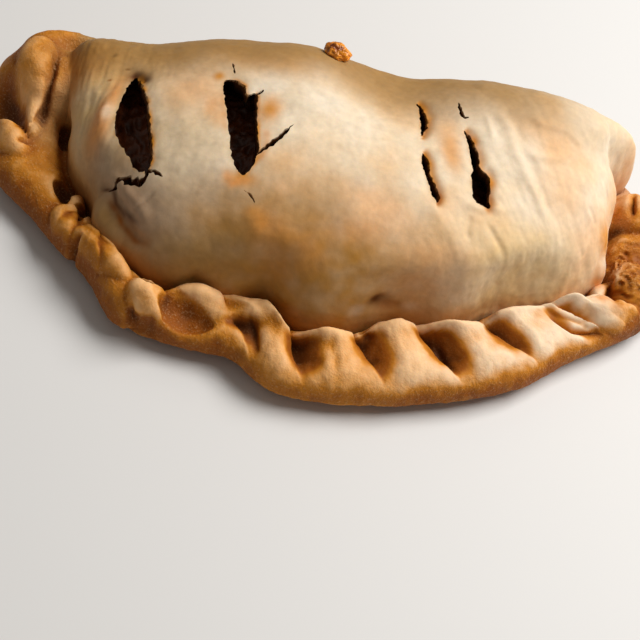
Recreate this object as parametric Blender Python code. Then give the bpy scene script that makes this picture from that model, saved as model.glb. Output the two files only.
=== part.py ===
"""A baked calzone: a half moon of dough folded over its filling, its round edge crimped into a thick rope.

The crust is a hollow shell, open only at the slashes in its crown. The filling lies inside it, with the
steam gap of a real one above it, and a lump of browned cheese has burst out behind the crown.
Metres, +Z up. X runs along the fold, -Y is the crimped edge, and the part rests on Z = 0.

The outer skin is a set of rings about MIDDLE. They widen down the dome to the crease, where the dome
meets the rope, then climb over the rope and go down to the table. A place on the skin is named by its
heading in plan, in degrees from +X, and on the rope also by its share across, 0 at the crease.
"""

import bmesh
import bpy
import numpy as np
from mathutils import Matrix, Vector, noise

MM = 0.001

# Plan of the rope
MIDDLE = (2.0, 11.0)
HALF_LENGTH = 100.0
FRONT_DEPTH = 68.3
FRONT_POWER = 1.6
BACK_DEPTH = 39.0
BACK_POWER = 3.6
# Where its outer edge departs from that: heading, spread in degrees, distance outward
OUTLINE_PUSHES = (
    (166.0, 6.0, 4.0), (175.0, 8.0, 6.0), (192.0, 7.0, 5.4), (207.0, 5.0, 0.8), (230.0, 9.0, 5.7),
    (254.0, 7.0, -3.9), (338.0, 12.0, -3.8),
)

# Rope of crimped dough along the front and both ends
ROPE_LEFT = (151.0, 160.0)  # headings between which it ends at the fold
ROPE_RIGHT = (375.0, 384.0)
ROPE_WIDTH = 18.0
WIDTH_CHANGES = (
    (167.0, 9.0, -4.0), (175.0, 8.0, 6.0), (190.0, 9.0, 3.5), (216.0, 14.0, -8.5), (300.0, 16.0, 6.0),
    (329.0, 12.0, 4.6), (363.0, 9.0, 4.5),
)
ROPE_HEIGHT = 13.8
HEIGHT_CHANGES = (
    (167.0, 8.5, 10.0), (202.0, 9.0, -3.0), (247.0, 9.0, -1.0), (300.0, 30.0, 1.8), (366.0, 10.0, 2.0),
)
ROPE_BELT = 5.2  # height at which it is widest
ROPE_TURN = (172.0, -70.0)  # angle round its section at the crease and at the table
CREASE_HEIGHT = 6.0
CREASE_CHANGES = ((158.0, 12.0, 14.0), (187.0, 9.0, 4.0), (371.0, 8.0, 5.0))
SHOULDER = (-88.0, 22.0, 19.5, 14.0, 24.0)  # x, y, reach along X, reach along Y, height of the left corner
SHOULDER_BLEND = 1.6
FOOT_INSET = 2.0  # how far the table line lies inside the outline
FOLD_INSET = 3.2  # the same along the plain back

# Pleats of the rope: heading of a crest's edge at the crease and at the outer edge, depth of the hollow
# beyond it, and the width of the crest's face as a share of the way from the last edge
PLEATS = (
    (194.0, 198.0, 0.0, 0.5), (201.0, 207.5, 2.0, 0.5), (209.0, 222.0, 1.6, 0.5), (224.0, 240.0, 0.8, 0.5),
    (237.5, 260.0, 4.6, 0.32), (263.0, 272.0, 6.5, 0.26), (281.0, 291.0, 6.2, 0.36),
    (301.0, 308.5, 7.6, 0.40), (321.0, 326.5, 6.0, 0.36), (339.0, 343.0, 5.4, 0.62),
    (348.0, 350.0, 3.4, 0.5), (360.0, 360.0, 2.0, 0.5), (371.0, 371.0, 0.0, 0.5),
)
PLEAT_EDGE = 0.55  # share of the crest's height at which its edge breaks off
PLEAT_DROP = 0.07  # share of the way to the next edge over which the dough falls from there
PLEAT_SPREAD = 0.5  # share by which a face widens on its way to the outer edge
PLEAT_LIP = (0.18, 0.34)  # shares of the way across between which a hollow falls from its inner lip
LIP_CHANGES = ((247.0, 13.0, 0.28),)  # where the lip is wider
PLEAT_END = (0.52, 1.0)  # and between which it closes towards the outer edge
PLEAT_LEAN = 0.9  # how far a crest hangs over the hollow beyond it
PLEAT_TIP = 3.8  # how far its inner end stands up
PLEAT_DIP = 1.8  # how far the inner lip of a hollow sinks
PLEAT_DEPTH = 6.0  # depth at which they are that large
TIP_PLACE, TIP_REACH = 0.22, 0.14  # where across the rope the inner ends stand, and their reach

# Lobes of the rope: x, y, half length, half width, heading, height
LOBES = (
    (-93.8, -0.5, 9.5, 4.8, -38.0, 3.4),
    (-69.3, -24.5, 6.5, 3.6, -66.0, 3.2),
    (-56.0, -33.3, 12.0, 4.6, -36.0, 4.0),
    (-40.2, -44.8, 7.6, 5.0, -57.0, 4.5),
    (76.0, -10.8, 14.0, 3.4, 0.0, 2.6),
    (82.5, -8.0, 10.5, 4.5, 28.0, 2.6),
    (87.8, 3.5, 7.0, 6.5, 60.0, 3.4),
    (86.5, 30.0, 8.5, 6.5, 85.0, 5.0),
)
# The flap folded over at the left corner, and its tip, in the same terms
EARS = ((-92.3, 19.5, 10.5, 5.4, -84.0, 4.6), (-89.0, 8.6, 9.0, 3.1, -76.0, 4.0))
EAR_EDGE = 0.6  # power of its rim, low for a steep one
EAR_VALLEY = (-98.5, 11.5, 10.0, 4.8, -52.0, 4.6)  # the valley on its outer side
# Dimples, in the same terms
DIMPLE_EDGE = 1.5
DIMPLES = (
    (-27.5, -46.0, 8.5, 5.5, 8.0, 2.8),
    (-72.5, -11.3, 6.0, 3.6, -60.0, 3.6),
    (-65.2, -15.8, 4.5, 3.0, -40.0, 3.2),
    (-45.0, -34.0, 7.0, 3.0, -35.0, 2.0),
)

# Dome of dough over the filling: bluff along the fold at the back, rounder towards the rope
DOME_TURN = 4.5  # the dome lies a little askew of the rope
DOME_FRONT = (83.0, 52.0, 1.9)  # half length, depth and power of its plan
DOME_BACK = (106.0, 34.0, 4.0)
DOME_PUSHES = ((190.0, 15.0, -4.8),)  # where the dome departs from that
DOME_HEIGHT = 44.6
DOME_BELT = 9.0  # height at which it is widest
FRONT_ROUNDNESS = 2.27  # power of its section from crown to belt
BACK_ROUNDNESS = 3.57
CROWN_RISE = 0.15  # of the middle above the first ring
FOLD_LIP = 0.5  # how far the belt stands out along the plain back
DOUGH = 4.2  # thickness of the crust
# Swellings and hollows of the crown: x, y, reach along X, reach along Y, height
SWELLS = (
    (-85.0, 32.0, 18.0, 26.0, -0.7), (-65.0, 32.0, 18.0, 26.0, -9.5), (-40.0, 32.0, 18.0, 26.0, -1.7),
    (-15.0, 32.0, 18.0, 26.0, 2.1), (10.0, 32.0, 18.0, 26.0, -4.8), (35.0, 32.0, 18.0, 26.0, 2.5),
    (60.0, 32.0, 18.0, 26.0, 3.2), (82.0, 32.0, 18.0, 26.0, -2.3),
)

# Rings of the skin
MERIDIANS = 204
BACK_THINNING = 0.42  # density of meridians along the plain back
DOME_RINGS = 13
ROPE_RINGS = 13
INNER_MERIDIANS = 64
INNER_RINGS = 9

# Slashes cut into the crown: points of each outline, clockwise in plan from its upper left
SLASHES = (
    ((-61.6, 13.8), (-59.4, 13.4), (-57.6, 9.2), (-55.2, 4.4), (-53.2, -1.0), (-50.6, -7.6), (-48.6, -14.0),
     (-49.2, -17.2), (-52.3, -16.5), (-56.6, -11.4), (-61.3, -5.7), (-62.8, 0.5), (-62.6, 7.5)),
    ((-36.2, 11.8), (-33.6, 12.7), (-30.6, 11.2), (-29.0, 8.1), (-26.6, 8.6), (-25.0, 3.0), (-23.4, -3.2),
     (-21.6, -9.4), (-22.2, -14.6), (-24.2, -17.0), (-27.6, -12.8), (-29.8, -7.8), (-32.7, 0.7),
     (-35.4, 7.6)),
    ((16.0, 23.6), (17.7, 22.4), (19.5, 19.0), (20.2, 15.1), (19.9, 12.1), (19.1, 9.9), (18.2, 14.7),
     (17.3, 19.5)),
    ((20.3, 3.6), (22.3, 2.0), (24.0, -3.2), (26.7, -6.9), (27.5, -9.1), (26.7, -10.4), (24.2, -6.8),
     (20.9, -0.2)),
    ((29.9, 13.7), (31.6, 13.5), (33.3, 11.5), (35.3, 8.1), (36.6, 4.3), (38.6, 3.4), (40.1, 1.4),
     (40.3, -1.4), (41.1, -6.1), (38.8, -6.6), (36.3, -5.2), (34.5, 0.2), (34.2, 2.9), (31.9, 9.0)),
)
SLASH_SIDES = 24
SLASH_HEIGHTS = (22.0, 60.0)  # of the cutters' lower and upper ends

# Filling
FILLING_SHARE = 0.80  # of the height of the hollow
FILLING_LUMP = 2.0
GAP = 0.6  # between it and the crust

# Browned cheese behind the crown
CHEESE_SPOT = (-9.0, 33.4)
CHEESE_SIZE = (3.8, 3.0, 2.9)
CHEESE_RISE = 1.0  # of its middle above the dome
CHEESE_GAP = 0.3


def bumps(heading, table):
    """Sum of the rounded changes that a table of (heading, spread, amount) makes."""
    total = np.zeros_like(heading)
    for at, spread, amount in table:
        away = (heading - at + 180.0) % 360.0 - 180.0
        total += amount * np.exp(-((away / spread) ** 2))
    return total


def step(low, high, value):
    """Smooth step from 0 at low to 1 at high."""
    t = np.clip((value - low) / (high - low), 0.0, 1.0)
    return t * t * (3.0 - 2.0 * t)


def superellipse(heading, half_length, depth, power):
    """Radius of a superellipse."""
    c, s = np.cos(np.radians(heading)), np.sin(np.radians(heading))
    return (np.abs(c / half_length) ** power + np.abs(s / depth) ** power) ** (-1.0 / power)


def dome_plan(heading):
    """Radius of the dome."""
    turned = heading - DOME_TURN
    back = step(0.10, 0.36, np.sin(np.radians(turned)))
    plan = superellipse(turned, *DOME_FRONT) * (1.0 - back) + superellipse(turned, *DOME_BACK) * back
    return plan + bumps(heading, DOME_PUSHES)


def outline(heading):
    """Radius of the outer edge: the rope's, and the fold's where there is no rope."""
    front = superellipse(heading, HALF_LENGTH, FRONT_DEPTH, FRONT_POWER)
    back = superellipse(heading, HALF_LENGTH, BACK_DEPTH, BACK_POWER)
    rope = np.where(np.sin(np.radians(heading)) < 0.0, front, back) + bumps(heading, OUTLINE_PUSHES)
    share = rope_share(heading)
    return rope * share + (dome_plan(heading) + FOLD_LIP) * (1.0 - share)


def rope_share(heading):
    """1 where the rope runs, 0 along the plain back."""
    turned = (heading - 90.0) % 360.0 + 90.0
    return step(*ROPE_LEFT, turned) * (1.0 - step(*ROPE_RIGHT, turned))


def rope_width(heading):
    """Width from the outer edge in to the crease."""
    return FOLD_LIP + (ROPE_WIDTH - FOLD_LIP + bumps(heading, WIDTH_CHANGES)) * rope_share(heading)


def place(heading, radius, height):
    """Points at a heading, a radius and a height."""
    angle = np.radians(heading)
    x, y = MIDDLE[0] + radius * np.cos(angle), MIDDLE[1] + radius * np.sin(angle)
    return np.stack((x, y, height), axis=-1)


def swell(x, y):
    """Height that the swellings add at a place in plan."""
    total = 0.0
    for at_x, at_y, reach_x, reach_y, height in SWELLS:
        total = total + height * np.exp(-(((x - at_x) / reach_x) ** 2) - ((y - at_y) / reach_y) ** 2)
    return total


def crease_floor(heading):
    """Height of the valley between dome and rope. Along the back there is no valley."""
    share = rope_share(heading)
    valley = CREASE_HEIGHT + bumps(heading, CREASE_CHANGES)
    return valley * share + (DOME_BELT - 0.3) * (1.0 - share)


def with_shoulder(points, part):
    """Raise points to the filled corner at the left, blended in, and to the flap that lies on it."""
    x, y, reach_x, reach_y, height = SHOULDER
    away = ((points[..., 0] - x) / reach_x) ** 2 + ((points[..., 1] - y) / reach_y) ** 2
    raised = height * np.exp(-(away**2)) - points[..., 2]
    points[..., 2] += part * SHOULDER_BLEND * np.logaddexp(0.0, raised / SHOULDER_BLEND)
    ear = np.max([mound(points[..., 0], points[..., 1], *flap, EAR_EDGE) for flap in EARS], axis=0)
    valley = mound(points[..., 0], points[..., 1], *EAR_VALLEY, DIMPLE_EDGE)
    points[..., 2] += part * (ear - valley)
    return points


def dome_ring(heading, level, inset=0.0):
    """Ring of the dome: level 0 at the crown, 1 at the belt."""
    share = np.sin(0.5 * np.pi * level)
    crease = outline(heading) - rope_width(heading)
    near = step(0.75, 1.0, share)
    radius = share * (dome_plan(heading) * (1.0 - near) + crease * near - inset)
    backward = step(-0.3, 0.3, np.sin(np.radians(heading - DOME_TURN)))
    power = FRONT_ROUNDNESS + (BACK_ROUNDNESS - FRONT_ROUNDNESS) * backward
    rise = np.maximum(0.0, 1.0 - share**power) ** (1.0 / power)
    ring = place(heading, radius, np.zeros_like(heading))
    ring[:, 2] = DOME_BELT + (DOME_HEIGHT - DOME_BELT - inset + swell(ring[:, 0], ring[:, 1])) * rise
    ring[:, 2] = np.maximum(ring[:, 2], crease_floor(heading))
    return with_shoulder(ring, 1.0) if inset <= 0.0 else ring


def pleat(heading, across):
    """(share of a crest's height, depth of the hollow): each hollow climbs slowly to a crest, whose face
    slopes down to an edge that breaks off into the next hollow."""
    turned = (heading - 90.0) % 360.0 + 90.0
    height, depth = np.ones_like(turned), np.zeros_like(turned)
    for (in_a, out_a, depth_a, _), (in_b, out_b, depth_b, face_b) in zip(PLEATS, PLEATS[1:]):
        a = in_a + (out_a - in_a) * across
        b = in_b + (out_b - in_b) * across
        share = (turned - a) / (b - a)
        here = (share >= 0.0) & (share < 1.0)
        face = np.clip(face_b * (1.0 + PLEAT_SPREAD * step(0.4, 1.0, across)), 0.0, 0.8)
        climb = step(-0.02, 0.82 - 0.7 * face, share)
        slope = 1.0 - (1.0 - PLEAT_EDGE) * np.clip((share - 1.0 + face) / face, 0.0, 1.0) ** 1.8
        broken = PLEAT_EDGE * step(PLEAT_DROP, 0.0, share)
        height = np.where(here, np.maximum(broken, climb * slope), height)
        depth = np.where(here, depth_a + (depth_b - depth_a) * step(0.4, 0.8, share), depth)
    return height, depth


def mound(x, y, at_x, at_y, long, wide, heading, height, edge=0.7):
    """Height of one rounded mound, narrower at its leading end and steeper at the rim with a low edge."""
    c, s = np.cos(np.radians(heading)), np.sin(np.radians(heading))
    along = ((x - at_x) * c + (y - at_y) * s) / long
    side = ((y - at_y) * c - (x - at_x) * s) / (wide * (1.0 - 0.25 * np.clip(along, -1.0, 1.0)))
    return height * np.clip(1.0 - along**2 - side**2, 0.0, 1.0) ** edge


def lobes(x, y):
    """Height that the lobes and dimples of the rope add at a place in plan."""
    raised = np.max([mound(x, y, *lobe) for lobe in LOBES], axis=0)
    return raised - np.sum([mound(x, y, *dimple, DIMPLE_EDGE) for dimple in DIMPLES], axis=0)


def rope_ring(heading, turn):
    """Ring of the rope at an angle round its section, between the two of ROPE_TURN. On top it is 90."""
    half = rope_width(heading) / 2.0
    share = rope_share(heading)
    top = DOME_BELT - 0.5 + (ROPE_HEIGHT + bumps(heading, HEIGHT_CHANGES) - DOME_BELT + 0.5) * share
    out, up = np.cos(np.radians(turn)), np.sin(np.radians(turn))
    across = (1.0 + out) / 2.0
    height, depth = pleat(heading, across)
    wider = bumps(heading, LIP_CHANGES)
    opened = step(PLEAT_LIP[0] + wider, PLEAT_LIP[1] + wider, across)
    cup = opened * step(PLEAT_END[1], PLEAT_END[0], across) * step(0.0, 0.3, up) * share
    fall = depth * (1.0 - height) * cup
    lift = up * (top - ROPE_BELT) if up > 0.0 else -ROPE_BELT * up / np.sin(np.radians(ROPE_TURN[1]))
    inset = (FOOT_INSET * share + FOLD_INSET * (1.0 - share)) * step(0.0, 1.0, -up)
    radius = outline(heading) - half + half * np.sign(out) * abs(out) ** 0.85 - inset
    radius -= fall * max(0.0, out)
    ring = place(heading, radius, np.maximum(0.0, ROPE_BELT + lift - fall * up))
    hold = step(0.0, PLEAT_LIP[1], across) * share if across < 0.5 else cup
    shift = PLEAT_LEAN * height * hold * depth / PLEAT_DEPTH
    lean = np.radians(heading)
    ring[:, 0] -= shift * np.sin(lean)
    ring[:, 1] += shift * np.cos(lean)
    tip = np.exp(-(((across - TIP_PLACE) / TIP_REACH) ** 2)) * depth / PLEAT_DEPTH * share
    ring[:, 2] += (PLEAT_TIP * height - PLEAT_DIP * (1.0 - height)) * tip
    if out < 0.0:
        ring[:, 2] = np.maximum(ring[:, 2], crease_floor(heading))
    ring[:, 2] += lobes(ring[:, 0], ring[:, 1]) * step(0.0, 0.5, up)
    return with_shoulder(ring, 1.0 if out < 0.0 else step(0.0, 0.5, up))


def headings(count):
    """Headings of the meridians, even along the outer edge and thinner along the back."""
    dense = np.linspace(90.0, 450.0, 2881)
    edge = place(dense, outline(dense), np.zeros_like(dense))
    share = rope_share((dense[1:] + dense[:-1]) / 2.0)
    weight = BACK_THINNING + (1.0 - BACK_THINNING) * share
    length = np.concatenate(([0.0], np.cumsum(weight * np.linalg.norm(np.diff(edge, axis=0), axis=1))))
    return np.interp(np.arange(count) * length[-1] / count, length, dense)


def crust_rings(growth=0.0):
    """Rings of the outer skin, or of one grown by a distance over the dome."""
    fine = headings(MERIDIANS)
    coarse = fine[::2]
    rings = [dome_ring(coarse, i / DOME_RINGS, -growth) for i in range(1, DOME_RINGS - 3)]
    rings += [dome_ring(fine, i / DOME_RINGS, -growth) for i in range(DOME_RINGS - 3, DOME_RINGS + 1)]
    rings += [rope_ring(fine, turn) for turn in np.linspace(*ROPE_TURN, ROPE_RINGS)]
    return rings


def new_object(name, collection):
    thing = bpy.data.objects.new(name, bpy.data.meshes.new(name))
    collection.objects.link(thing)
    return thing


def close_rings(name, collection, rings):
    """Closed skin through rings from the top down. A ring may have twice as many points as the last."""
    thing = new_object(name, collection)
    mesh = bmesh.new()
    crown = rings[0].mean(axis=0)
    crown[2] += CROWN_RISE
    top = mesh.verts.new(crown * MM)
    levels = [[mesh.verts.new(point * MM) for point in ring] for ring in rings]
    foot = mesh.verts.new(rings[-1].mean(axis=0) * MM)
    for i, a in enumerate(levels[0]):
        mesh.faces.new((top, a, levels[0][(i + 1) % len(levels[0])]))
    for upper, lower in zip(levels, levels[1:]):
        ratio = len(lower) // len(upper)
        for i, a in enumerate(upper):
            b = upper[(i + 1) % len(upper)]
            below = [lower[(i * ratio + k) % len(lower)] for k in range(ratio + 1)]
            for c, d in zip(below[:-1], below[1:-1]):
                mesh.faces.new((a, c, d))
            mesh.faces.new((a, below[-2], below[-1], b))
    for i, a in enumerate(levels[-1]):
        mesh.faces.new((a, foot, levels[-1][(i + 1) % len(levels[-1])]))
    bmesh.ops.recalc_face_normals(mesh, faces=mesh.faces)
    mesh.to_mesh(thing.data)
    mesh.free()
    return thing


def inner_rings(inset, floor, draft):
    """Rings of a body that follows the dome from within, down to a flat foot drawn in by draft."""
    heading = headings(INNER_MERIDIANS)
    rings = [dome_ring(heading, i / INNER_RINGS, inset) for i in range(1, INNER_RINGS + 1)]
    foot = rings[-1].copy()
    foot[:, :2] = np.array(MIDDLE) + (foot[:, :2] - np.array(MIDDLE)) * (1.0 - draft)
    foot[:, 2] = floor
    return rings + [foot]


def make_filling(collection):
    """Lumpy core that fills the hollow to FILLING_SHARE of its height."""
    floor = DOUGH + GAP
    rings = inner_rings(DOUGH + 2.0 * GAP, floor, 0.045)
    for ring in rings:
        for point in ring:
            lump = noise.noise(Vector(point) / 11.0) + 0.5 * noise.noise(Vector(point) / 5.0)
            room = step(0.0, 0.5, (point[2] - DOME_BELT) / DOME_HEIGHT)
            share = 1.0 - (1.0 - FILLING_SHARE) * room
            point[2] = floor + (point[2] - floor) * share + FILLING_LUMP * lump * room
    return close_rings("filling", collection, rings)


def smooth_curve(points, count):
    """Places on a smooth closed curve through points."""
    points = np.array((points[-1], *points, *points[:2]))
    t = np.arange(count) * (len(points) - 3) / count
    at = t.astype(int)
    u = (t - at)[:, None]
    a, b, c, d = points[at], points[at + 1], points[at + 2], points[at + 3]
    bend = (2.0 * a - 5.0 * b + 4.0 * c - d) * u**2 + (3.0 * b - a - 3.0 * c + d) * u**3
    return 0.5 * (2.0 * b + (c - a) * u + bend)


def make_slash(index, collection):
    """Cutter for one slash: an upright prism through the crown."""
    thing = new_object(f"slash_{index + 1}", collection)
    mesh = bmesh.new()
    plan = smooth_curve(SLASHES[index], SLASH_SIDES)
    rims = [[mesh.verts.new(Vector((x, y, height)) * MM) for x, y in plan] for height in SLASH_HEIGHTS]
    for i in range(SLASH_SIDES):
        j = (i + 1) % SLASH_SIDES
        mesh.faces.new((rims[0][i], rims[0][j], rims[1][j], rims[1][i]))
    mesh.faces.new(rims[0])
    mesh.faces.new(rims[1])
    bmesh.ops.recalc_face_normals(mesh, faces=mesh.faces)
    mesh.to_mesh(thing.data)
    mesh.free()
    return thing


def make_cheese(collection):
    """Rough lump that bulges out of the skin."""
    thing = new_object("browned_cheese", collection)
    mesh = bmesh.new()
    bmesh.ops.create_icosphere(mesh, subdivisions=3, radius=1.0)
    top = float(skin_height(*CHEESE_SPOT)) + CHEESE_RISE
    for vertex in mesh.verts:
        rough = 1.0 + 0.22 * noise.noise(vertex.co * 2.1) + 0.10 * noise.noise(vertex.co * 5.0)
        size = Vector(CHEESE_SIZE) * rough
        vertex.co = Vector((CHEESE_SPOT[0] + vertex.co.x * size.x, CHEESE_SPOT[1] + vertex.co.y * size.y,
                            top + vertex.co.z * size.z)) * MM
    mesh.to_mesh(thing.data)
    mesh.free()
    return thing


def skin_height(x, y):
    """Height of the dome's skin at a place in plan."""
    heading = np.degrees(np.arctan2(y - MIDDLE[1], x - MIDDLE[0]))
    rings = [dome_ring(np.array([heading]), level)[0] for level in np.linspace(0.02, 1.0, 99)]
    reach = [np.hypot(point[0] - MIDDLE[0], point[1] - MIDDLE[1]) for point in rings]
    return np.interp(np.hypot(x - MIDDLE[0], y - MIDDLE[1]), reach, [point[2] for point in rings])


def boolean(target, operation, other):
    modifier = target.modifiers.new(f"{operation.lower()}_{other.name}", "BOOLEAN")
    modifier.operation = operation
    modifier.object = other
    modifier.solver = "EXACT"


def material(name, colour, roughness):
    """Principled material."""
    made = bpy.data.materials.new(name)
    made.use_nodes = True
    shader = made.node_tree.nodes["Principled BSDF"]
    shader.inputs["Base Color"].default_value = (*colour, 1.0)
    shader.inputs["Roughness"].default_value = roughness
    return made


def main():
    for thing in list(bpy.data.objects):
        bpy.data.objects.remove(thing, do_unlink=True)
    calzone = bpy.data.collections.new("calzone")
    cutters = bpy.data.collections.new("cutters")
    for collection in (calzone, cutters):
        bpy.context.scene.collection.children.link(collection)

    crust = close_rings("crust", calzone, crust_rings())
    boolean(crust, "DIFFERENCE", close_rings("hollow", cutters, inner_rings(DOUGH, DOUGH, 0.03)))
    for index in range(len(SLASHES)):
        boolean(crust, "DIFFERENCE", make_slash(index, cutters))
    filling = make_filling(calzone)
    cheese = make_cheese(calzone)
    boolean(cheese, "DIFFERENCE", close_rings("shield", cutters, crust_rings(CHEESE_GAP)))
    middle = [(crust.bound_box[0][axis] + crust.bound_box[6][axis]) / 2.0 for axis in (0, 1)]
    for thing in list(calzone.objects) + list(cutters.objects):
        thing.data.transform(Matrix.Translation((-middle[0], -middle[1], 0.0)))
    for cutter in cutters.objects:
        cutter.hide_render = True
        cutter.display_type = "WIRE"

    crust.data.materials.append(material("baked_dough", (0.78, 0.55, 0.30), 0.62))
    filling.data.materials.append(material("meat_filling", (0.12, 0.05, 0.02), 0.55))
    cheese.data.materials.append(material("browned_cheese", (0.62, 0.27, 0.05), 0.40))


main()
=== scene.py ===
"""Looks of the calzone: a fine skin over the crust, its torn slashes, the filling and the browned cheese.

The skin is worked out in millimetres about the plan's own zero, with the names and the numbers of the
solid crust, then moved to the middle of the base and scaled to metres. A place on it is named by its
heading in plan, in degrees from +X, and by its share of the way out.
"""

import itertools
import math

import bmesh
import bpy
import numpy as np
from mathutils import Matrix, Vector
from mathutils.kdtree import KDTree


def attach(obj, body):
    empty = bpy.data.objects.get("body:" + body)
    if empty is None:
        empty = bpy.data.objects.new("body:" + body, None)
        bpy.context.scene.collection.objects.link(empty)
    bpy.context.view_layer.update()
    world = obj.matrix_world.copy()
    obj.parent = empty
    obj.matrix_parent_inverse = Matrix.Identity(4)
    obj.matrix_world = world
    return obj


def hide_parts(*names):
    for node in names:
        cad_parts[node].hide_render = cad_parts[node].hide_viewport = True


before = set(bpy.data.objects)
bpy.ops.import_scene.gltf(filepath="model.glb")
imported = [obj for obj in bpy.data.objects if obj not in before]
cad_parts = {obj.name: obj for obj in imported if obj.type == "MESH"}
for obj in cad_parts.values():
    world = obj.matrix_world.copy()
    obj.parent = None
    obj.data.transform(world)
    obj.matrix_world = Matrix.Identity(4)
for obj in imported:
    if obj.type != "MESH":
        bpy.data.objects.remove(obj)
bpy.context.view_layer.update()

MM = 0.001
BASE_MIDDLE = (-1.195, -4.069)  # middle of the base from the plan's own zero

# Plan of the rope
MIDDLE = (2, 11)
ROPE_FRONT = (100, 68.3, 1.6)  # half length, depth and power of its outer edge in front, then at the back
ROPE_BACK = (100, 39, 3.6)
OUTLINE_PUSHES = (
    (166, 6, 4), (175, 8, 6), (192, 7, 5.4), (207, 5, 0.8), (230, 9, 5.7), (254, 7, -3.9), (338, 12, -3.8),
)

# Rope of crimped dough
ROPE_LEFT = (151, 160)
ROPE_RIGHT = (375, 384)
ROPE_WIDTH = 18
WIDTH_CHANGES = (
    (167, 9, -4), (175, 8, 6), (190, 9, 3.5), (216, 14, -8.5), (300, 16, 6), (329, 12, 4.6), (363, 9, 4.5),
)
ROPE_HEIGHT = 13.8
HEIGHT_CHANGES = ((167, 8.5, 10), (202, 9, -3), (247, 9, -1), (300, 30, 1.8), (366, 10, 2))
ROPE_BELT = 5.2
ROPE_TURN = (172, -70)
CREASE_HEIGHT = 6
CREASE_CHANGES = ((158, 12, 14), (187, 9, 4), (371, 8, 5))
SHOULDER = (-88, 22, 19.5, 14)  # left corner: x, y, reach along X, reach along Y
SHOULDER_HEIGHT = 24
SHOULDER_BLEND = 1.6
FOOT_INSET = 2
FOLD_INSET = 3.2

# Pleats: heading of a crest's edge at the crease and at the outer edge, depth of the hollow beyond it, and
# the width of the crest's bright face as a share of the way from the last edge
PLEATS = (
    (194, 198, 0, 0.5), (201, 207.5, 2, 0.5), (209, 222, 1.6, 0.5), (224, 240, 0.8, 0.5),
    (237.5, 260, 4.6, 0.32), (263, 272, 6.5, 0.26), (281, 291, 6.2, 0.36),
    (301, 308.5, 7.6, 0.4), (321, 326.5, 6, 0.36), (339, 343, 5.4, 0.62),
    (348, 350, 3.4, 0.5), (360, 360, 2, 0.5), (371, 371, 0, 0.5),
)
PLEAT_EDGE = 0.55  # share of the crest's height at which its edge breaks off
PLEAT_DROP = 0.07  # share of the way to the next edge over which the dough falls from there
PLEAT_SPREAD = 0.5  # share by which a face widens on its way to the outer edge
PLEAT_LIP = (0.18, 0.34)  # shares of the way across between which a hollow falls from its inner lip
LIP_CHANGES = ((247, 13, 0.28),)  # where the lip is wider
PLEAT_END = (0.52, 1)  # and between which it closes towards the outer edge
PLEAT_LEAN = 0.9  # how far a crest hangs over the hollow beyond it
PLEAT_TIP = 3.8  # how far its inner end stands up
PLEAT_DIP = 1.8  # how far the inner lip of a hollow sinks
PLEAT_DEPTH = 6  # depth at which they are that large
TIP_PLACE, TIP_REACH = 0.22, 0.14  # where across the rope the inner ends stand, and their reach

# Lobes of the rope: x, y, half length, half width, heading, height
LOBES = (
    (-93.8, -0.5, 9.5, 4.8, -38, 3.4),
    (-69.3, -24.5, 6.5, 3.6, -66, 3.2),
    (-56, -33.3, 12, 4.6, -36, 4),
    (-40.2, -44.8, 7.6, 5, -57, 4.5),
    (76, -10.8, 14, 3.4, 0, 2.6),
    (82.5, -8, 10.5, 4.5, 28, 2.6),
    (87.8, 3.5, 7, 6.5, 60, 3.4),
    (86.5, 30, 8.5, 6.5, 85, 5),
)
EARS = ((-92.3, 19.5, 10.5, 5.4, -84, 4.6), (-89, 8.6, 9, 3.1, -76, 4))
EAR_EDGE = 0.5
EAR_VALLEY = (-98.5, 11.5, 10, 4.8, -52, 4.6)
DIMPLE_EDGE = 1.5
DIMPLES = (
    (-27.5, -46, 8.5, 5.5, 8, 2.8),
    (-72.5, -11.3, 6, 3.6, -60, 3.6),
    (-65.2, -15.8, 4.5, 3, -40, 3.2),
    (-45, -34, 7, 3, -35, 2),
)

# Dome
DOME_TURN = 4.5
DOME_FRONT = (83, 52, 1.9)
DOME_BACK = (106, 34, 4)
DOME_PUSHES = ((190, 15, -4.8),)
DOME_HEIGHT = 44.6
DOME_BELT = 9
ROUNDNESS = (2.27, 3.57)  # in front and at the back
CROWN_RISE = 0.015
FOLD_LIP = 0.5
DOUGH = 4.2
# Swellings: x and height of each, on one line along X, and their reach along X and Y
SWELL_LINE, SWELL_REACH = 32, (18, 26)
SWELLS = ((-85, -0.7), (-65, -9.5), (-40, -1.7), (-15, 2.1), (10, -4.8), (35, 2.5), (60, 3.2), (82, -2.3))

# Rings of the fine skin
MERIDIANS = 1152
BACK_THINNING = 0.7
HALVED = 0.52  # share of the way out within which a ring has half the points
DOME_RINGS = 180
ROPE_RINGS = 76
INNER_MERIDIANS = 64
INNER_RINGS = 9
SOFTENINGS = 26  # of the rope, to find how far its hollows lie below it
HOLLOW_DRAFT = 0.97  # share of its width that the hollow has at its floor

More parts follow.
